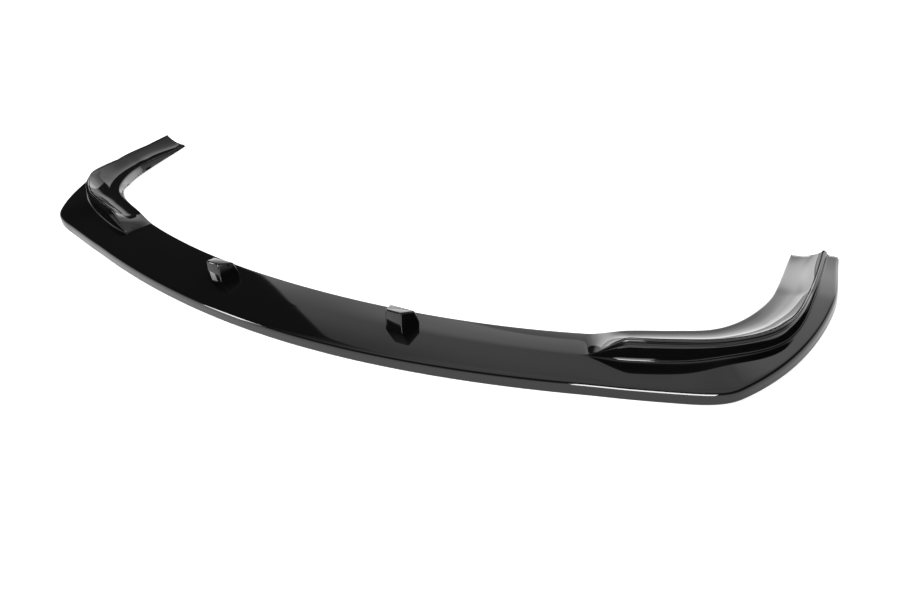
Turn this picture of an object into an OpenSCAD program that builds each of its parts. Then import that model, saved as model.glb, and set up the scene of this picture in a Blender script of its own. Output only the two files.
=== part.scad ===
// Front splitter lip: one sheet moulding with two side arms, a raised flange on each side and two
// wedge bosses. +X is right, +Y is rearward, +Z is up. The lip rests on z = 0, and the origin is
// in the middle of the box around it. Sizes are in millimetres.

/* [Outline] */
// Width over the widest places of the side arms
lip_w = 1700; // [1600:10:1800]
// Depth from the foremost point to the ends of the arms
lip_d = 512; // [480:4:560]
// Distance from the middle to the start of each front corner
corner_x = 708; // [680:2:720]
// How far the start of each front corner lies behind the foremost point
corner_sag = 113; // [95:1:130]
// How far the widest place of each arm lies behind the foremost point
widest_y = 383; // [360:1:400]
// How far each arm end turns in from the widest place
arm_toe = 20; // [8:1:24]
// Width of the bend at each front corner, from its start
bend_w = 71; // [60:1:80]
// Depth of the bend at each front corner, from its start
bend_d = 29; // [22:1:40]
// Depth of the plate in the middle
plate_d = 122; // [112:1:132]

/* [Sheet] */
// Thickness of the moulded sheet
sheet_t = 4; // [3:0.5:5]
// Height of the front edge in the middle
front_h = 21; // [18:0.5:26]
// Height of the outer wall around the corners
corner_wall_h = 18; // [16:0.5:22]
// Height of the outer wall at the ends of the arms
end_wall_h = 18; // [15:0.5:20]
// How far the outer wall clears the floor behind each corner
corner_lift = 13; // [8:1:16]
// How far the outer wall clears the floor at the widest place of each arm
side_lift = 9; // [5:1:12]
// How far the outer wall clears the floor at the ends of the arms
end_lift = 2; // [1:1:4]
// Height of the rear edge of the plate, under which the bumper sits
rear_h = 22; // [20:0.5:24]
// How far the plate bulges up between its front and rear edges
plate_bulge = 1; // [0:0.5:2]
// Width of the rounding on the outer edge
edge_across = 6; // [5:0.5:7]
// Height of the rounding on the outer edge
edge_drop = 11; // [8:0.5:12]
// Draft of the outer wall, from its foot to its top
edge_draft = 1; // [0.5:0.5:2]

/* [Flange] */
// Distance from the middle to the point where each flange starts
flange_x = 540; // [520:1:550]
// Distance from the middle to the top of each flange's ramp
ramp_top_x = 602; // [595:1:620]
// Height of the shelf on top of the flange's wall, along the front and around the corner
shelf_h = 52; // [46:1:56]
// Height of the shelf at the widest place of each arm
shelf_mid_h = 35; // [32:1:38]
// Height of the shelf at the ends of the arms
shelf_end_h = 27; // [25:1:30]
// Width of the shelf along the front of the flange
shelf_w = 6; // [4:0.5:9]
// Height of the crest above the shelf
step_h = 6; // [4:0.5:7]
// How far the shelf's outer edge sets back from the foot of the wall
wall_set = 3; // [2:0.5:6]
// Radius in the foot of the flange's wall
foot_r = 5; // [2:0.5:6]
// Width of the ledge outside the flange at the ends of the arms
ledge_w = 20; // [17:1:24]
// Width from the ledge to the inner edge at the ends of the arms
channel_w = 58; // [52:1:62]
// Height of the inner edge along the front of the flange
inner_h = 29; // [25:1:32]
// How far the inner edge rolls down at the widest place of each arm
skirt_h = 16; // [8:1:18]

/* [Bosses] */
// Distance from the middle to the front face of each boss
boss_x = 213; // [200:1:226]
// How far the front face of each boss lies behind the foremost point
boss_y = 73; // [68:1:76]
// Width of a boss along the foot of its front face
boss_w = 36; // [30:1:40]
// Length of a boss from front to rear
boss_d = 40; // [36:1:42]
// How far the inner side of a boss flares out towards its rear
boss_flare_in = 13; // [8:1:20]
// How far the outer side of a boss flares out towards its rear
boss_flare_out = 10; // [4:1:14]
// Height of a boss above the plate at its front
boss_h = 38; // [32:1:42]
// Height of a boss above the plate at its rear
boss_rear_h = 25; // [18:1:28]
// How far the front face of a boss leans back
boss_lean = 10; // [6:1:14]
// Draft on each side of a boss, from its foot to its top
boss_draft = 3; // [1:0.5:4]
// Radius on the edges of a boss
boss_r = 3; // [2:0.5:4]

/* [Hidden] */

// Steps along half of the lip, between one guide point and the next
STEPS = [8, 9, 4, 7, 8, 6, 5];
RUNS = len(STEPS);

// Guide points of half the lip, from the middle to the end of an arm. Each holds x, y and the
// direction in degrees from +X, with y measured back from the foremost point.
half_w = lip_w / 2;
arm_end_x = half_w - arm_toe;
foot_end_x = arm_end_x - ledge_w;
inner_end_x = foot_end_x - channel_w;
// Directions of the front edge along the ramp, where the corner starts, and at the bend's far end
ramp_slope = 14.6;
sag_slope = 13.7;
bend_slope = 53;
// Share of the front edge's curve that flattens out towards the corners
flattening = 0.2;
function front_y(x) =
    corner_sag * ((1 + flattening) * pow(x / corner_x, 2) - flattening * pow(x / corner_x, 4));
// How far the front edge's guide points lie outside those of the wall's foot along the ramp
fan_out = [14, 26];
// Where the wall's foot lies in the middle, as a share of the plate's depth
foot_share = 0.58;
// How far the wall's foot and the inner edge lie behind the front edge along the ramp
foot_back = [63.5, 62.5];
foot_start = 12;
inner_back = 122;
ramp_top_back = 128;
// How far the inner edge's guide points lie inside those of the wall's foot along the ramp
fan_in = 25;
// Steps from the corner's start to the wall's foot and the inner edge, where their bends start
// and end
foot_bend = [[-30, 60], [31.5, 87.3]];
inner_bend = [[-60, 120], [-5, 146]];
// Where each line's elbow lies between the bend's end and the widest place, as shares in x and y
outer_elbow = [0.766, 0.474];
foot_elbow = [0.873, 0.392];
inner_elbow = [0.716, 0.444];
// How far the foot and the inner edge bow out at the widest place
foot_bow = 8;
inner_bow = 5.5;

function part_way(a, b, share, way) =
    [a[0] + share[0] * (b[0] - a[0]), a[1] + share[1] * (b[1] - a[1]), way];
function from_corner(steps, way) = [corner_x + steps[0], corner_sag + steps[1], way];

outer_bend_end = from_corner([bend_w, bend_d], bend_slope);
outer_widest = [half_w, widest_y, 90];
outer_guide = [
    [0, 0, 0],
    [flange_x + fan_out[0], front_y(flange_x + fan_out[0]), ramp_slope],
    [ramp_top_x + fan_out[1], front_y(ramp_top_x + fan_out[1]), ramp_slope],
    [corner_x, corner_sag, sag_slope],
    outer_bend_end,
    part_way(outer_bend_end, outer_widest, outer_elbow, 74.5),
    outer_widest,
    [arm_end_x, lip_d, 98],
];
foot_bend_end = from_corner(foot_bend[1], 33);
foot_widest = [foot_end_x + foot_bow, widest_y, 90];
foot_guide = [
    [0, plate_d * foot_share, 0],
    [flange_x - foot_start, front_y(flange_x - foot_start) + foot_back[0], 13],
    [ramp_top_x, front_y(ramp_top_x) + foot_back[1], 16.5],
    from_corner(foot_bend[0], 20),
    foot_bend_end,
    part_way(foot_bend_end, foot_widest, foot_elbow, 70),
    foot_widest,
    [foot_end_x, lip_d, 95],
];
inner_bend_end = from_corner(inner_bend[1], 38);
inner_widest = [inner_end_x + inner_bow, widest_y, 89];
inner_guide = [
    [0, plate_d, 0],
    [flange_x - fan_in, front_y(flange_x - fan_in) + inner_back, 15],
    [ramp_top_x - fan_in, front_y(ramp_top_x - fan_in) + ramp_top_back, 20],
    from_corner(inner_bend[0], 22),
    inner_bend_end,
    part_way(inner_bend_end, inner_widest, inner_elbow, 67),
    inner_widest,
    [inner_end_x, lip_d, 91],
];
// Heights and widths at the same guide points: the foot and top of the outer wall, the shelf and
// the step up from it to the crest, the inner edge and its roll downwards
elbow_lift = (corner_lift + 2 * side_lift) / 3 + 1;
lifts = [0, 0, 0, 2, corner_lift, elbow_lift, side_lift, end_lift];
walls = [front_h, front_h, front_h, front_h, corner_wall_h, corner_wall_h, corner_wall_h, end_wall_h];
shelf_heights = [0, 0, shelf_h, shelf_h, shelf_h, shelf_h, shelf_mid_h, shelf_end_h];
shelf_shares = [1, 1, 1, 1, 0.75, 0.42, 0.25, 0.25];
step_shares = [1, 1, 1, 1, 1, 0.83, 0.5, 0.33];
inner_heights = [rear_h, rear_h - 3, inner_h - 1, inner_h, inner_h, inner_h - 2, inner_h - 7, 2 * sheet_t];
skirt_shares = [0, 0, 0.05, 0.2, 0.45, 0.94, 1, 0.25];
skirt_runs = [0, 0, 0, 2, 7, 7, 4, 1];
// Least height of the rolled inner edge beyond the sheet's own thickness
least_roll = 0.5;

// Cubic curve from a to b, with slopes ma and mb
function hermite(a, b, ma, mb, u) =
    (2 * pow(u, 3) - 3 * pow(u, 2) + 1) * a + (pow(u, 3) - 2 * pow(u, 2) + u) * ma
    + (3 * pow(u, 2) - 2 * pow(u, 3)) * b + (pow(u, 3) - pow(u, 2)) * mb;
function heading(g) = [cos(g[2]), sin(g[2])];
function spot(g) = [g[0], g[1]];
// Point on a guide at station s, which counts guide points from the middle
function along(guide, s) =
    let (k = min(floor(s), RUNS - 1), a = guide[k], b = guide[k + 1], d = norm(spot(b) - spot(a)))
    hermite(spot(a), spot(b), d * heading(a), d * heading(b), s - k);

// Height at station s, eased through the guide points
EASING = 0.6;
function slope(list, k) = k <= 0 || k >= RUNS ? 0 : EASING * (list[k + 1] - list[k - 1]) / 2;
function eased(list, s) =
    let (k = min(floor(s), RUNS - 1))
    list[k] == list[k + 1] ? list[k]
    : hermite(list[k], list[k + 1], slope(list, k), slope(list, k + 1), s - k);
function foot_z(s) = max(eased(lifts, s), 0);
function edge_z(s) = foot_z(s) + eased(walls, s);

// How far the flange has risen at station s: 0 on the plate and 1 from the top of the ramp
function rise(s) = let (u = min(max(s - 1, 0), 1)) (u + u * u * (3 - 2 * u)) / 2;
function plate_z(s, f) =
    edge_z(s) + (rear_h - front_h) * f + plate_bulge * 4 * f * (1 - f) * (1 - rise(s));
// Value at station s, on straight lines between the guide points
function between(list, s) =
    let (k = min(floor(s), RUNS - 1), u = s - k) list[k] * (1 - u) + list[k + 1] * u;
function shelf_z(s, level) = s <= 2 ? level + rise(s) * (shelf_h - level) : between(shelf_heights, s);

function unit(v) = v / norm(v);
// Rounded corner at q between p and r, as points on a curve that starts and ends reach away from q
function rounded(p, q, r, reach, n) =
    let (d = min(reach, norm(p - q) / 2, norm(r - q) / 2), a = q + d * unit(p - q), b = q + d * unit(r - q))
    [for (i = [0 : n]) let (u = i / n) pow(1 - u, 2) * a + 2 * u * (1 - u) * q + u * u * b];
// Quarter of an ellipse from its left end to its top, as n + 1 points
function quarter(c, across, up, n) =
    [for (i = [0 : n]) let (a = 180 - 90 * i / n) c + [across * cos(a), up * sin(a)]];

// Offset of an open line to its right by t, with mitred corners
function right_of(a, b) = let (d = unit(b - a)) [d[1], -d[0]];
function inset(line, t) =
    let (n = len(line))
    [for (i = [0 : n - 1])
        let (n0 = right_of(line[max(i - 1, 0)], line[max(i, 1)]),
             n1 = right_of(line[min(i, n - 2)], line[min(i + 1, n - 1)]))
        line[i] + t * (n0 + n1) / (1 + n0 * n1)];

// Shares of the way across the channel, and how steeply it falls from the crest
CHANNEL = [0.1, 0.24, 0.42, 0.68, 1];
channel_curve = 2.6;
// How the plate falls behind the same line where there is no flange
plate_curve = 1.7;
function fall(w, risen) = (1 - risen) * (1 - pow(w, plate_curve)) + risen * pow(1 - w, channel_curve);
// Width of the step up to the crest, as a share of its height
step_across = 0.5;
// Least share of the full width that the shelf, the step and the fillets keep where the flange is low
least_round = 0.2;
// Radii on the shelf's edge and on the rolled inner edge
shelf_r = 1;
skirt_r = 3;
// Share of the outer edge's rounding that the inner skin cuts across
edge_cut = 0.6;

// Section at station s as two lines of points [distance in from the outer edge, height]: the outer
// skin and the inner skin
function section(s, width, foot_at) =
    let (foot = foot_z(s),
         edge = edge_z(s),
         level = plate_z(s, foot_at / width),
         shelf = shelf_z(s, level),
         full = max(rise(s), least_round),
         step = step_h * between(step_shares, s),
         crest = shelf + step * rise(s),
         inner = eased(inner_heights, s),
         plate_from = edge_draft + edge_across,
         plate = [for (f = [1 / 3, 2 / 3]) let (x = plate_from + (foot_at - foot_r - plate_from) * f)
             [x, plate_z(s, x / width)]],
         wall_foot = [foot_at, level],
         shelf_edge = [foot_at + wall_set * full, shelf],
         shelf_in = [shelf_edge[0] + shelf_w * between(shelf_shares, s) * full, shelf],
         across = step_across * step * full,
         crest_at = [shelf_in[0] + across, crest],
         cove = [for (a = [0, 35, 65]) shelf_in + [across * sin(a), (crest - shelf) * (1 - cos(a))]],
         channel = [for (w = CHANNEL) let (x = crest_at[0] + (width - crest_at[0]) * w)
             [x, inner + (crest - inner) * fall(w, rise(s))]],
         drop = max(skirt_h * eased(skirt_shares, s), sheet_t + least_roll),
         skirt = [width + max(eased(skirt_runs, s), 0), inner - drop],
         over = [for (i = [0 : len(CHANNEL) - 2]) channel[i]])
    [concat(
         [[0, foot]],
         quarter([plate_from, edge - edge_drop], edge_across, edge_drop, 5),
         plate,
         rounded(plate[1], wall_foot, shelf_edge, foot_r * full, 3),
         rounded(wall_foot, shelf_edge, shelf_in, shelf_r * full, 1),
         cove,
         [crest_at],
         over,
         rounded(over[len(over) - 1], [width, inner], skirt, skirt_r, 3),
         [skirt]),
     inset(concat(
         [[0, foot], [0, edge - edge_drop * edge_cut], [edge_draft + edge_across * edge_cut, edge]],
         plate, [wall_foot, shelf_edge], channel, [skirt]), sheet_t)];

// One section as points in space, on the plan line from the outer guide to the inner guide
function ring(s, side) =
    let (a = along(outer_guide, s),
         b = along(inner_guide, s),
         r = along(foot_guide, s),
         width = norm(b - a),
         skins = section(s, width, (r - a) * (b - a) / width),
         under = [for (i = [len(skins[1]) - 1 : -1 : 1]) skins[1][i]],
         loop = concat(skins[0], under, [[sheet_t, foot_z(s)]]))
    [for (p = loop) let (q = a + (b - a) * p[0] / width) [side * q[0], q[1] - lip_d / 2, max(p[1], 0)]];

STATIONS = concat([for (k = [0 : RUNS - 1]) for (i = [0 : STEPS[k] - 1]) k + i / STEPS[k]], [RUNS]);
RINGS = concat(
    [for (i = [len(STATIONS) - 1 : -1 : 1]) ring(STATIONS[i], -1)],
    [for (s = STATIONS) ring(s, 1)]);

// Closed body swept through rings of equal length
module skin_through(rings) {
    n = len(rings);
    m = len(rings[0]);
    sides = [for (i = [0 : n - 2]) for (j = [0 : m - 1])
        let (a = i * m + j, b = i * m + (j + 1) % m)
        each [[a, b + m, a + m], [a, b, b + m]]];
    polyhedron(
        points = [for (r = rings) each r],
        faces = concat(sides, [[for (j = [m - 1 : -1 : 0]) j]], [[for (j = [0 : m - 1]) (n - 1) * m + j]]),
        convexity = 8);
}

module sheet() {
    skin_through(RINGS);
}

// Shape of a boss, inset on all sides, from a height below the plate up to its sloping top
module boss(inset_by, depth) {
    plate_top = rear_h + plate_bulge;
    x0 = boss_x - boss_w / 2 + boss_r + inset_by;
    x1 = boss_x + boss_w / 2 - boss_r - inset_by;
    y0 = boss_y + boss_r + inset_by - lip_d / 2;
    y1 = boss_y + boss_d - boss_r - inset_by - lip_d / 2;
    foot = plate_top - depth;
    front_top = plate_top + boss_h - boss_r - inset_by;
    rear_top = plate_top + boss_rear_h - boss_r - inset_by;
    corners = [
        [x0, y0, foot],
        [x1, y0, foot],
        [x0 - boss_flare_in, y1, foot],
        [x1 + boss_flare_out, y1, foot],
        [x0 + boss_draft, y0 + boss_lean, front_top],
        [x1 - boss_draft, y0 + boss_lean, front_top],
        [x0 - boss_flare_in + boss_draft, y1 - boss_draft, rear_top],
        [x1 + boss_flare_out - boss_draft, y1 - boss_draft, rear_top],
    ];
    hull() for (c = corners) translate(c) sphere(boss_r, $fn = 16);
}
module bosses(inset_by, depth) {
    for (side = [0, 1]) mirror([side, 0, 0]) boss(inset_by, depth);
}

module splitter_lip() {
    color([0.03, 0.03, 0.032]) difference() {
        union() {
            sheet();
            bosses(0, sheet_t / 2);
        }
        bosses(sheet_t, 2 * sheet_t);
    }
}

splitter_lip();
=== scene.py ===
# %% [markdown]
# # A front splitter lip in gloss black
#
# The real object is one thin moulding that hangs below a car's front bumper. It has a flat front
# plate, an arm on each side that runs back beside the wheel, a raised flange that starts as a ramp
# and bends around each corner, and two small wedge bosses. It is polished black plastic, so almost
# all that an eye sees of it is what it reflects. That sets the order here: a very smooth shape
# first, then a plain glossy finish, and then the lamps and panels that the gloss shows.

# %% Load the frame
import math

import bpy
from mathutils import Matrix, Vector


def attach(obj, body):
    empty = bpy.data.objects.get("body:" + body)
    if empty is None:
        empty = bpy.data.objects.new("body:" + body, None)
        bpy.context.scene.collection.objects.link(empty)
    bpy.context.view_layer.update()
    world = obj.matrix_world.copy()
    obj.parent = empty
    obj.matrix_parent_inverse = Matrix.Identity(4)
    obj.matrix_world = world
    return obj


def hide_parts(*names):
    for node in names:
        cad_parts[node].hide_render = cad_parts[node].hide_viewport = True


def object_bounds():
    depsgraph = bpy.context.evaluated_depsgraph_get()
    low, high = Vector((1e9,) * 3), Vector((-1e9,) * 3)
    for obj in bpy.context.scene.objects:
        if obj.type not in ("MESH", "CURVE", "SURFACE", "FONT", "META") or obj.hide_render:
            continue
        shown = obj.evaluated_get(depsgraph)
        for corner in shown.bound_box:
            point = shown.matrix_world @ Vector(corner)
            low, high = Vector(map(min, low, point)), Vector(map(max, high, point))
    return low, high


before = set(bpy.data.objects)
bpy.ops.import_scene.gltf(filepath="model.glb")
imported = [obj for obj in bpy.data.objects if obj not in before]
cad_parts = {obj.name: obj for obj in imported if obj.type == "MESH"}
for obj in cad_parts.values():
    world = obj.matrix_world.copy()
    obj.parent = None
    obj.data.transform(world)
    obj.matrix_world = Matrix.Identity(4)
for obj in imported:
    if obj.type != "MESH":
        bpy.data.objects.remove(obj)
cad_low, cad_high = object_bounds()
lip_w = cad_high.x - cad_low.x
lip_d = cad_high.y - cad_low.y
print(f"The lip is {lip_w:.3f} m wide and {lip_d:.3f} m deep")

# %% [markdown]
# ## The plan of the moulding
#
# A long swept shape can be modelled by pushing single points about, or by writing down three lines
# in plan and a section that travels along them. The second way keeps the surface smooth, and a
# gloss finish shows every dent, so it is the one used. The lines are the outer edge, the foot of
# the flange's wall and the inner edge. Each is a short list of guide points with headings. The
# points are in metres, and y is measured back from the foremost point. The headings are in
# degrees: 0 runs straight across and 90 runs straight back.

# %% Guide points in plan
CORNER_X, CORNER_SAG, FLATTENING = 0.708, 0.113, 0.2
WIDEST_Y, ARM_TOE = 0.383, 0.020
LEDGE_W, CHANNEL_W = 0.020, 0.058
PLATE_D, FOOT_SHARE = 0.122, 0.58
FLANGE_X, RAMP_TOP_X = 0.540, 0.602
FAN_OUT, FAN_IN, FOOT_LEAD = (0.014, 0.026), 0.025, 0.012
FOOT_BACK, INNER_BACK = (0.0635, 0.0625), (0.122, 0.128)
FOOT_TOE, INNER_TOE = 0.008, 0.0055
OUTER_BEND = ((0, 0), (0.071, 0.029), (0.1254, 0.1432))
FOOT_BEND = ((-0.030, 0.060), (0.0315, 0.0873), (0.100, 0.159))
INNER_BEND = ((-0.060, 0.120), (-0.005, 0.146), (0.034, 0.201))
OUTER_WAYS = (0, 14.6, 14.6, 13.7, 53, 74.5, 90, 98)
FOOT_WAYS = (0, 13, 16.5, 20, 33, 70, 90, 95)
INNER_WAYS = (0, 15, 20, 22, 38, 67, 89, 91)

half_w = lip_w / 2
arm_end_x = half_w - ARM_TOE
foot_end_x = arm_end_x - LEDGE_W
inner_end_x = foot_end_x - CHANNEL_W


def front_y(x):
    """How far the front edge lies behind the foremost point, at a distance x from the middle."""
    u = x / CORNER_X
    return CORNER_SAG * ((1 + FLATTENING) * u**2 - FLATTENING * u**4)


def guide(middle_y, ramp, bend, widest_x, end_x, ways):
    """A line's guide points as (x, y, heading), from the middle to the end of the arm.

    The ramp's points are (x, distance back from the front edge), and the bend's points are
    (distance across, distance back) from the start of the corner.
    """
    points = [(0, middle_y)]
    points += [(x, front_y(x) + back) for x, back in ramp]
    points += [(CORNER_X + across, CORNER_SAG + back) for across, back in bend]
    points += [(widest_x, WIDEST_Y), (end_x, lip_d)]
    return [(x, y, way) for (x, y), way in zip(points, ways)]


# Towards the corner the sections fan out: their outer ends lie further out than their inner ones.
outer_ramp = ((FLANGE_X + FAN_OUT[0], 0), (RAMP_TOP_X + FAN_OUT[1], 0))
foot_ramp = ((FLANGE_X - FOOT_LEAD, FOOT_BACK[0]), (RAMP_TOP_X, FOOT_BACK[1]))
inner_ramp = ((FLANGE_X - FAN_IN, INNER_BACK[0]), (RAMP_TOP_X - FAN_IN, INNER_BACK[1]))
outer_guide = guide(0, outer_ramp, OUTER_BEND, half_w, arm_end_x, OUTER_WAYS)
foot_guide = guide(
    PLATE_D * FOOT_SHARE, foot_ramp, FOOT_BEND, foot_end_x + FOOT_TOE, foot_end_x, FOOT_WAYS
)
inner_guide = guide(
    PLATE_D, inner_ramp, INNER_BEND, inner_end_x + INNER_TOE, inner_end_x, INNER_WAYS
)
RUNS = len(outer_guide) - 1
print(f"Each of the three lines has {RUNS + 1} guide points")


# %% Curves through the guide points
def hermite(a, b, slope_a, slope_b, u):
    """A cubic curve from a to b with those slopes at its ends."""
    return (
        a * (2 * u**3 - 3 * u**2 + 1)
        + slope_a * (u**3 - 2 * u**2 + u)
        + b * (3 * u**2 - 2 * u**3)
        + slope_b * (u**3 - u**2)
    )


def heading(way):
    """A unit vector in plan along a heading in degrees."""
    return Vector((math.cos(math.radians(way)), math.sin(math.radians(way))))


def along(guide_points, s):
    """The plan point on a line at station s, where whole stations are the guide points."""
    k = min(int(s), RUNS - 1)
    (ax, ay, a_way), (bx, by, b_way) = guide_points[k], guide_points[k + 1]
    a, b = Vector((ax, ay)), Vector((bx, by))
    reach = (b - a).length
    return hermite(a, b, heading(a_way) * reach, heading(b_way) * reach, s - k)


print(f"The outer edge ends at {[round(v, 3) for v in along(outer_guide, RUNS)]}")

# %% [markdown]
# ## Heights along the moulding
#
# The front wall stands on the floor as far as the corners. Behind them its lower edge lifts clear,
# and it comes nearly down again at the ends of the arms. The flange climbs its ramp between guide
# points 1 and 2, where 0 is the middle, stays level around the corner and sinks along the arm. The
# heights could be sculpted point by point, but a list with one value for each guide point is
# easier to read and to change, and the curve between the points keeps the gloss free of kinks.

# %% Heights at the guide points
FRONT_H, ARM_WALL_H, REAR_H, PLATE_BULGE = 0.021, 0.018, 0.022, 0.001
SHELF_H, INNER_H = 0.052, 0.029
RAMP_FOOT, RAMP_TOP = 1, 2
EASING = 0.6
lifts = [0, 0, 0, 0.002, 0.013, 0.0115, 0.009, 0.002]
walls = [FRONT_H] * 4 + [ARM_WALL_H] * 4
shelf_heights = [0, 0, SHELF_H, SHELF_H, SHELF_H, SHELF_H, 0.035, 0.027]
shelf_widths = [0.006, 0.006, 0.006, 0.006, 0.0045, 0.0025, 0.0015, 0.0015]
step_heights = [0.006, 0.006, 0.006, 0.006, 0.006, 0.005, 0.003, 0.002]
inner_heights = [REAR_H, 0.019, 0.028, INNER_H, INNER_H, 0.027, 0.022, 0.008]
skirt_drops = [0, 0, 0.001, 0.003, 0.007, 0.015, 0.016, 0.004]
skirt_runs = [0, 0, 0, 0.002, 0.007, 0.007, 0.004, 0.001]


def slope(values, k):
    """The slope at guide point k: level at both ends, and eased between its neighbours."""
    return 0 if k <= 0 or k >= RUNS else EASING * (values[k + 1] - values[k - 1]) / 2


def eased(values, s):
    """A value at station s, eased through the guide points."""
    k = min(int(s), RUNS - 1)
    if values[k] == values[k + 1]:
        return values[k]
    return hermite(values[k], values[k + 1], slope(values, k), slope(values, k + 1), s - k)


def between(values, s):
    """A value at station s, on straight lines between the guide points."""
    k = min(int(s), RUNS - 1)
    return values[k] * (1 - s + k) + values[k + 1] * (s - k)


def foot_z(s):
    """Height of the lower edge."""
    return max(eased(lifts, s), 0)


def edge_z(s):
    """Height of the outer wall's top."""
    return foot_z(s) + eased(walls, s)


def rise(s):
    """How far the flange has risen: 0 on the plate and 1 from the top of the ramp."""
    u = min(max(s - RAMP_FOOT, 0), 1)
    return (u + u * u * (3 - 2 * u)) / 2


def plate_z(s, share):
    """Height of the plate at a share of the way from the outer edge to the inner one."""
    bulge = PLATE_BULGE * 4 * share * (1 - share) * (1 - rise(s))
    return edge_z(s) + (REAR_H - FRONT_H) * share + bulge


def shelf_z(s, level):
    """Height of the shelf: it climbs the ramp from the plate's level and then goes by its list."""
    if s <= RAMP_TOP:
        return level + rise(s) * (SHELF_H - level)
    return between(shelf_heights, s)


print(f"The lower edge lifts {max(lifts):.3f} m, and the shelf lies at {SHELF_H:.3f} m")

# %% [markdown]
# ## The section
#
# Across the moulding the skin goes up the outer wall, over its rounded top and along the plate. It
# climbs the flange's wall to a narrow shelf, takes a step up to the crest, falls along the channel
# and turns down at the inner edge. Loop cuts and bevels could give such a profile, but it changes
# all the way along, so it is worked out anew at each station. Each bend is drawn as a few close
# points, because the Subdivision Surface modifier turns close points into a tight curve and far
# ones into a wide curve.

# %% The outer wall and the plate
EDGE_ACROSS, EDGE_DROP, EDGE_STEPS = 0.006, 0.011, 6
EDGE_DRAFT, DRAFT_AT_MIDDLE = 0.001, 0.4
FOOT_R = 0.005
PLATE_SHARES = (0.08, 0.2, 0.35, 0.5, 0.65, 0.8, 0.92)


def wall_and_plate(s, width, foot_at):
    """Skin points up the outer wall, over its rounded top and along the plate."""
    foot, low = foot_z(s), edge_z(s) - EDGE_DROP
    plate_from = EDGE_DRAFT + EDGE_ACROSS
    skin = [Vector((0, foot)), Vector((EDGE_DRAFT * DRAFT_AT_MIDDLE, (foot + low) / 2))]
    for i in range(EDGE_STEPS + 1):
        turn = math.pi * (1 - i / EDGE_STEPS / 2)
        at = plate_from + EDGE_ACROSS * math.cos(turn)
        skin.append(Vector((at, low + EDGE_DROP * math.sin(turn))))
    for part in PLATE_SHARES:
        at = plate_from + (foot_at - FOOT_R - plate_from) * part
        skin.append(Vector((at, plate_z(s, at / width))))
    return skin


print(f"The wall's top is rounded over {EDGE_ACROSS:.3f} m in {EDGE_STEPS} steps")

# %% The flange, the channel and the inner edge
WALL_SET, STEP_ACROSS = 0.003, 0.5
SHELF_R, CREST_R, SKIRT_R = 0.001, 0.001, 0.004
FOOT_STEPS, SMALL_STEPS, COVE_STEPS = 4, 2, 4
LEAST_ROUND, LEAST_SKIRT = 0.2, 0.001
CHANNEL_SHARES = (0.05, 0.11, 0.19, 0.29, 0.41, 0.54, 0.68, 0.83, 0.95)
CHANNEL_CURVE, PLATE_CURVE = 2.6, 1.7


def rounded(p, q, r, reach, steps):
    """Points on a curve that turns the corner at q, between p and r."""
    reach = min(reach, (p - q).length / 2, (r - q).length / 2)
    a = q + (p - q).normalized() * reach
    b = q + (r - q).normalized() * reach
    turn = [i / steps for i in range(steps + 1)]
    return [a * (1 - u) ** 2 + q * 2 * u * (1 - u) + b * u**2 for u in turn]


def fall(part, risen):
    """Share of the crest's height that is left at a part of the way to the inner edge.

    It changes from the plate's slow fall to the channel's quick one as the flange rises.
    """
    return (1 - risen) * (1 - part**PLATE_CURVE) + risen * (1 - part) ** CHANNEL_CURVE


def cove(start, across, up):
    """Points on a quarter of an ellipse that starts level and ends upright."""
    turns = [math.pi / 2 * i / COVE_STEPS for i in range(COVE_STEPS)]
    return [start + Vector((across * math.sin(t), up * (1 - math.cos(t)))) for t in turns]


def flange(s, width, foot_at, plate_end):
    """Skin points up the flange's wall, over the crest, down the channel and the inner edge."""
    level = plate_z(s, foot_at / width)
    shelf, inner = shelf_z(s, level), eased(inner_heights, s)
    full = max(rise(s), LEAST_ROUND)
    step = between(step_heights, s)
    crest = shelf + step * rise(s)
    across = STEP_ACROSS * step * full
    wall_foot = Vector((foot_at, level))
    shelf_edge = Vector((foot_at + WALL_SET * full, shelf))
    shelf_in = Vector((shelf_edge.x + between(shelf_widths, s) * full, shelf))
    crest_at = Vector((shelf_in.x + across, crest))
    climb = cove(shelf_in, across, crest - shelf)
    channel = []
    for part in CHANNEL_SHARES:
        at = crest_at.x + (width - crest_at.x) * part
        channel.append(Vector((at, inner + (crest - inner) * fall(part, rise(s)))))
    lip_in = Vector((width, inner))
    skirt_x = width + eased(skirt_runs, s) + LEAST_SKIRT
    skirt = Vector((skirt_x, inner - eased(skirt_drops, s) - LEAST_SKIRT))
    turn_in = max(between(skirt_drops, s) / max(skirt_drops), LEAST_ROUND)
    return [
        *rounded(plate_end, wall_foot, shelf_edge, FOOT_R * full, FOOT_STEPS),
        *rounded(wall_foot, shelf_edge, shelf_in, SHELF_R * full, SMALL_STEPS),
        *climb,
        *rounded(climb[-1], crest_at, channel[0], CREST_R * full, SMALL_STEPS),
        *channel,
        *rounded(channel[-1], lip_in, skirt, SKIRT_R * turn_in, SMALL_STEPS),
        skirt,
    ]


def ring(s):
    """The section at station s, laid on the plan line from the outer edge to the inner one."""
    outer, inner, foot = along(outer_guide, s), along(inner_guide, s), along(foot_guide, s)
    width = (inner - outer).length
    foot_at = (foot - outer).dot(inner - outer) / width
    skin = wall_and_plate(s, width, foot_at)
    skin += flange(s, width, foot_at, skin[-1])
    points = []
    for p in skin:
        q = outer + (inner - outer) * (p.x / width)
        points.append(Vector((q.x, q.y - lip_d / 2, max(p.y, 0))))
    return points


print(f"One section has {len(ring(0))} points")

# %% [markdown]
# ## The moulded sheet
#
# A grid is the natural start for a swept skin: one column for each station and one row for each
# point of the section. It is laid onto the sections, mirrored to the other half, smoothed and then
# given its thickness. Only half of the moulding is made by hand, as a modeller would do it.

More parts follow.
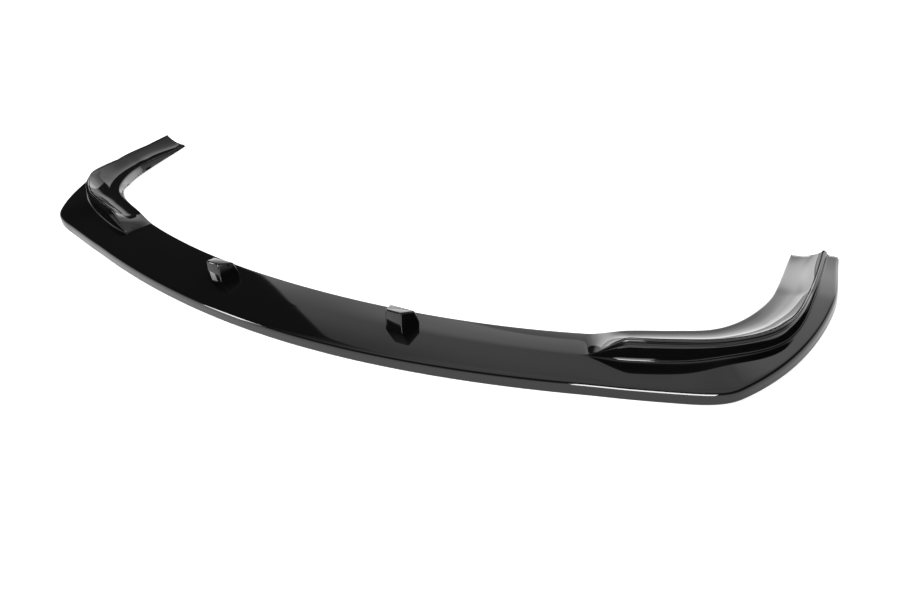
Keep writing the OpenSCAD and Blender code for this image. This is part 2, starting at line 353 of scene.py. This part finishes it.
# %% Helpers for shaping a piece
def only(piece):
    """Selects one piece and makes it the active one."""
    bpy.ops.object.select_all(action="DESELECT")
    piece.select_set(True)
    bpy.context.view_layer.objects.active = piece


def apply_modifier(piece, kind, **values):
    """Adds a modifier with those values and applies it."""
    only(piece)
    bpy.ops.object.modifier_add(type=kind)
    modifier = piece.modifiers[-1]
    for name, value in values.items():
        setattr(modifier, name, value)
    bpy.ops.object.modifier_apply(modifier=modifier.name)


def even_normals(piece):
    """Turns the piece's faces to one side. On a closed piece, that is the outside."""
    only(piece)
    bpy.ops.object.mode_set(mode="EDIT")
    bpy.ops.mesh.select_all(action="SELECT")
    bpy.ops.mesh.normals_make_consistent(inside=False)
    bpy.ops.object.mode_set(mode="OBJECT")


# %% Sheet
SHEET_T, EDGE_BEVEL = 0.004, 0.0006
BEVEL_ABOVE, SMOOTH_BELOW = math.radians(50), math.radians(40)
SEAM = 0.00001
STATION_STEPS = (28, 12, 8, 10, 14, 12, 12)

stations = [k + i / steps for k, steps in enumerate(STATION_STEPS) for i in range(steps)]
rings = [ring(s) for s in [*stations, RUNS]]
rows, columns = len(rings[0]), len(rings)
bpy.ops.mesh.primitive_grid_add(x_subdivisions=columns - 1, y_subdivisions=rows - 1, size=2)
sheet = bpy.context.object
sheet.name = "lip_sheet"
for vertex in sheet.data.vertices:
    column = round((vertex.co.x + 1) / 2 * (columns - 1))
    row = round((vertex.co.y + 1) / 2 * (rows - 1))
    vertex.co = rings[column][row]
apply_modifier(
    sheet, "MIRROR", use_axis=(True, False, False), use_mirror_merge=True, merge_threshold=SEAM
)
apply_modifier(sheet, "SUBSURF", levels=1, render_levels=1, boundary_smooth="PRESERVE_CORNERS")
even_normals(sheet)
# An open sheet has no outside, so its faces may all look down, and then they are flipped.
if sum(polygon.normal.z * polygon.area for polygon in sheet.data.polygons) < 0:
    bpy.ops.object.mode_set(mode="EDIT")
    bpy.ops.mesh.flip_normals()
    bpy.ops.object.mode_set(mode="OBJECT")
apply_modifier(
    sheet, "SOLIDIFY",
    thickness=SHEET_T, offset=-1, use_even_offset=True, use_quality_normals=True,
)
apply_modifier(
    sheet, "BEVEL", width=EDGE_BEVEL, segments=2, limit_method="ANGLE", angle_limit=BEVEL_ABOVE
)
bpy.ops.object.shade_smooth_by_angle(angle=SMOOTH_BELOW)
print(f"Sheet: {len(sheet.data.polygons)} faces, box {[round(v, 4) for v in sheet.dimensions]}")

# %% [markdown]
# ## The wedge bosses
#
# Each boss is a small wedge that flares towards its rear. It may be what locates the lip under the
# bumper. It could be extruded from the plate, but a piece of its own keeps the plate's gloss clean.
# A cube is the start: its corners go to the wedge's own eight points, and a bevel rounds its edges.

# %% Bosses
BOSS_X, BOSS_Y, BOSS_W, BOSS_D = 0.213, 0.073, 0.036, 0.040
BOSS_FLARE_IN, BOSS_FLARE_OUT = 0.013, 0.010
BOSS_H, BOSS_REAR_H, BOSS_LEAN, BOSS_DRAFT = 0.038, 0.025, 0.010, 0.003
BOSS_SUNK = 0.002
BOSS_R, BOSS_R_SEGMENTS = 0.003, 4
BOSS_SMOOTH_BELOW = math.radians(35)


def boss_corner(way):
    """Where a corner of the starting cube goes. The cube runs from -1 to 1 each way."""
    rear, outside, top = way.y > 0, way.x > 0, way.z > 0
    x = BOSS_X + BOSS_W / 2 * (1 if outside else -1)
    y = BOSS_Y + (BOSS_D if rear else 0)
    z = REAR_H + PLATE_BULGE - BOSS_SUNK
    if rear:
        x += BOSS_FLARE_OUT if outside else -BOSS_FLARE_IN
    if top:
        x -= BOSS_DRAFT * (1 if outside else -1)
        y += -BOSS_DRAFT if rear else BOSS_LEAN
        z = REAR_H + PLATE_BULGE + (BOSS_REAR_H if rear else BOSS_H)
    return Vector((x, y - lip_d / 2, z))


def make_boss(name, side):
    """A wedge boss on one side of the middle: 1 for the right and -1 for the left."""
    bpy.ops.mesh.primitive_cube_add(size=2)
    boss = bpy.context.object
    boss.name = name
    for vertex in boss.data.vertices:
        vertex.co = boss_corner(vertex.co)
        vertex.co.x *= side
    even_normals(boss)
    bpy.ops.object.mode_set(mode="EDIT")
    bpy.ops.mesh.bevel(
        offset=BOSS_R, offset_type="OFFSET", segments=BOSS_R_SEGMENTS, profile=0.5, affect="EDGES"
    )
    bpy.ops.object.mode_set(mode="OBJECT")
    bpy.ops.object.shade_smooth_by_angle(angle=BOSS_SMOOTH_BELOW)
    return boss


bosses = [make_boss("boss_right", 1), make_boss("boss_left", -1)]
print(f"Bosses: {len(bosses)}, {len(bosses[0].data.polygons)} faces each")

# %% [markdown]
# ## Gloss black
#
# Black plastic has almost no colour of its own. Its look is a clear, sharp reflection that is weak
# where it is seen square on and strong where it is seen at a slant. A mix of a matt and a mirror
# shader could imitate that, but the Principled shader's index of refraction gives it by itself.

# %% Finish
BLACK, BLACK_ROUGHNESS, PLASTIC_IOR = (0.004, 0.004, 0.0043, 1), 0.045, 1.5

black = bpy.data.materials.new("gloss_black")
black.use_nodes = True
gloss = black.node_tree.nodes["Principled BSDF"]
gloss.inputs["Base Color"].default_value = BLACK
gloss.inputs["Roughness"].default_value = BLACK_ROUGHNESS
gloss.inputs["IOR"].default_value = PLASTIC_IOR
for piece in [sheet, *bosses]:
    piece.data.materials.append(black)
    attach(piece, "root")
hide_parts("splitter_lip")
print(f"{black.name} is on {1 + len(bosses)} pieces")

# %% [markdown]
# ## Floor
#
# The part lies on plain white, as on a photographer's table. A white surface alone would need
# strong lamps to look white, and the gloss would show them. So the floor gives some light of its
# own, only to rays that come from the camera, from a gloss or through glass. It looks white and
# still takes the soft shadow of the part.

# %% Floor
FLOOR_SIZE, FLOOR_COLOUR, FLOOR_GLOW = 24, 0.9, 0.85


def add_math(tree, operation, first, second):
    """A Math node on two inputs, each of which is an output of another node or a number."""
    node = tree.nodes.new("ShaderNodeMath")
    node.operation = operation
    for value, entry in zip((first, second), node.inputs):
        if isinstance(value, (int, float)):
            entry.default_value = value
        else:
            tree.links.new(value, entry)
    return node.outputs[0]


def white_floor():
    """Matt white that also glows for camera, glossy and transmission rays."""
    finish = bpy.data.materials.new("white_floor")
    finish.use_nodes = True
    tree = finish.node_tree
    tree.nodes.remove(tree.nodes["Principled BSDF"])
    matt = tree.nodes.new("ShaderNodeBsdfDiffuse")
    matt.inputs["Color"].default_value = (FLOOR_COLOUR, FLOOR_COLOUR, FLOOR_COLOUR, 1)
    ray = tree.nodes.new("ShaderNodeLightPath").outputs
    seen = add_math(tree, "MAXIMUM", ray["Is Camera Ray"], ray["Is Glossy Ray"])
    seen = add_math(tree, "MAXIMUM", seen, ray["Is Transmission Ray"])
    glow = tree.nodes.new("ShaderNodeEmission")
    tree.links.new(add_math(tree, "MULTIPLY", seen, FLOOR_GLOW), glow.inputs["Strength"])
    both = tree.nodes.new("ShaderNodeAddShader")
    tree.links.new(matt.outputs[0], both.inputs[0])
    tree.links.new(glow.outputs[0], both.inputs[1])
    tree.links.new(both.outputs[0], tree.nodes["Material Output"].inputs["Surface"])
    return finish


bpy.ops.mesh.primitive_plane_add(size=FLOOR_SIZE)
floor = bpy.context.object
floor.name = "floor"
floor.data.materials.append(white_floor())
print(f"Floor: {FLOOR_SIZE} m square")

# %% [markdown]
# ## Lamps
#
# Gloss black shows the lamps more than it shows itself. Small lamps would draw small white spots,
# so the light comes from area lamps, which the gloss shows as soft panels. Two panels stand behind
# the part, one above the other. The upper one is wide and dim. The lower one is bright, and its
# left end lies further right and fades out, which leaves the plate black on the left. A wide panel
# hangs overhead, and two narrow upright strips in front draw the thin bright lines along the edges.

# %% Helpers for the lamps
def add_lamp(name, place, aim, size, radiance):
    """An area lamp of that width and height that looks from its place towards the aim."""
    bpy.ops.object.light_add(type="AREA", location=place)
    lamp = bpy.context.object
    lamp.name = name
    lamp.data.shape = "RECTANGLE"
    lamp.data.size, lamp.data.size_y = size
    lamp.data.energy = radiance * math.pi * size[0] * size[1]
    lamp.rotation_euler = (Vector(aim) - Vector(place)).to_track_quat("-Z", "Y").to_euler()
    lamp.visible_camera = False
    return lamp


def fade(lamp, across, up):
    """Fades a lamp across its width and up its height, by lists of (place from 0 to 1, share)."""
    lamp.data.use_nodes = True
    tree = lamp.data.node_tree
    place = tree.nodes.new("ShaderNodeNewGeometry")
    parts = tree.nodes.new("ShaderNodeSeparateXYZ")
    tree.links.new(place.outputs["Parametric"], parts.inputs[0])
    shares = []
    for part, stops in zip(parts.outputs, (across, up)):
        ramp = tree.nodes.new("ShaderNodeValToRGB")
        ramp.color_ramp.interpolation = "EASE"
        elements = ramp.color_ramp.elements
        while len(elements) < len(stops):
            elements.new(0.5)
        for element, (at, share) in zip(elements, stops):
            element.position = at
            element.color = (share, share, share, 1)
        tree.links.new(part, ramp.inputs[0])
        shares.append(ramp.outputs[0])
    product = add_math(tree, "MULTIPLY", *shares)
    tree.links.new(product, tree.nodes["Emission"].inputs["Strength"])


# %% Panels behind and above
BACK_Y, BACK_LEFT, LOW_LEFT, BACK_RIGHT = 3.2, -4.17, -2.75, 2.6
BACK_LOW, BACK_SPLIT, BACK_TOP = 0.1, 2.3, 6.0
BACK_RADIANCE, LOW_RADIANCE, TOP_RADIANCE = 1.7, 4.8, 0.9
BACK_ACROSS = ((0, 0.8), (0.16, 0.85), (0.45, 0.95), (1, 1))
BACK_UP = ((0, 1), (0.17, 0.85), (0.39, 0.45), (0.67, 0.22), (1, 0.12))
LOW_ACROSS = ((0, 0), (0.07, 0.45), (0.16, 0.7), (0.35, 0.95), (0.55, 1), (0.74, 0.5), (1, 0.4))
LOW_UP = ((0, 1), (0.5, 0.9), (0.8, 0.55), (1, 0.36))
TOP_Z, TOP_SIZE = 3, 5.2
TOP_FADE = ((0, 0.1), (0.3, 1), (0.7, 1), (1, 0.1))


def add_back_panel(name, left, low, high, radiance, across, up):
    """An upright panel behind the part that faces forward, from a left end and between heights."""
    x, z = (left + BACK_RIGHT) / 2, (low + high) / 2
    size = (BACK_RIGHT - left, high - low)
    fade(add_lamp(name, (x, BACK_Y, z), (x, 0, z), size, radiance), across, up)


add_back_panel(
    "back_panel", BACK_LEFT, BACK_SPLIT, BACK_TOP, BACK_RADIANCE, BACK_ACROSS, BACK_UP
)
add_back_panel("low_panel", LOW_LEFT, BACK_LOW, BACK_SPLIT, LOW_RADIANCE, LOW_ACROSS, LOW_UP)
top_lamp = add_lamp("top_panel", (0, 0, TOP_Z), (0, 0, 0), (TOP_SIZE, TOP_SIZE), TOP_RADIANCE)
fade(top_lamp, TOP_FADE, TOP_FADE)
print(f"Panels: two behind, up to {BACK_TOP} m high, and one at {TOP_Z} m overhead")

# %% Strips in front
# Each row is a name, a place, a point to aim at, a width and height, and a radiance.
STRIPS = (
    ("left_strip", (-2.49, -2.22, 0.83), (-0.1, -0.25, 0.2), (0.5, 1.12), 16),
    ("front_strip", (1.04, -3.23, 0.83), (0.64, -0.16, 0.2), (0.6, 1.12), 24),
)
for strip in STRIPS:
    add_lamp(*strip)
print(f"Strips: {len(STRIPS)}")

# %% [markdown]
# ## The room around it
#
# Whatever no lamp covers, the gloss mirrors from the world. A picture of a studio could stand
# there, but a plain grey that changes with height is enough: dark above, so that the black stays
# black, and pale near the horizon, so that a low camera sees a pale room.

# %% World
HORIZON_TOP, HORIZON_FADE, ROOM_DARK = 0.17, 0.27, 0.04

world = bpy.data.worlds.new("studio")
bpy.context.scene.world = world
world.use_nodes = True
nodes, links = world.node_tree.nodes, world.node_tree.links
way = nodes.new("ShaderNodeTexCoord")
way_parts = nodes.new("ShaderNodeSeparateXYZ")
room = nodes.new("ShaderNodeMapRange")
for name, value in (
    ("From Min", HORIZON_TOP),
    ("From Max", HORIZON_FADE),
    ("To Min", 1),
    ("To Max", ROOM_DARK),
):
    room.inputs[name].default_value = value
links.new(way.outputs["Generated"], way_parts.inputs[0])
links.new(way_parts.outputs["Z"], room.inputs["Value"])
links.new(room.outputs[0], nodes["Background"].inputs["Strength"])
nodes["Background"].inputs["Color"].default_value = (1, 1, 1, 1)
print(f"World: from 1 at the horizon to {ROOM_DARK} above")

# %% [markdown]
# ## Camera
#
# The camera stands at the front right and looks down, and it is turned a little on its own axis. A
# Track To constraint could aim it, but it would keep the camera level. Here its three axes are
# worked out from the angles, which allows that turn.

# %% Camera
CAM_AZIMUTH, CAM_ELEVATION, CAM_ROLL = (math.radians(v) for v in (37.44, 37.96, -10.92))
CAM_AIM_X, CAM_AIM_Y, CAM_DISTANCE = 0.268, 0.1952, 1.5013
CAM_LENS, CAM_SENSOR = 33.26, 36

cam_back = Vector(
    (
        math.sin(CAM_AZIMUTH) * math.cos(CAM_ELEVATION),
        -math.cos(CAM_AZIMUTH) * math.cos(CAM_ELEVATION),
        math.sin(CAM_ELEVATION),
    )
)
level_right = Vector((math.cos(CAM_AZIMUTH), math.sin(CAM_AZIMUTH), 0))
level_up = cam_back.cross(level_right)
cam_right = level_right * math.cos(CAM_ROLL) + level_up * math.sin(CAM_ROLL)
cam_up = level_up * math.cos(CAM_ROLL) - level_right * math.sin(CAM_ROLL)
cam_place = Vector((CAM_AIM_X, CAM_AIM_Y - lip_d / 2, 0)) + cam_back * CAM_DISTANCE
bpy.ops.object.camera_add()
camera = bpy.context.object
cam_turn = Matrix((cam_right, cam_up, cam_back)).transposed().to_4x4()
camera.matrix_world = Matrix.Translation(cam_place) @ cam_turn
camera.data.lens = CAM_LENS
camera.data.sensor_width = CAM_SENSOR
bpy.context.scene.camera = camera
bpy.context.scene.view_settings.view_transform = "Standard"
print(f"The camera is at {[round(v, 3) for v in cam_place]}")
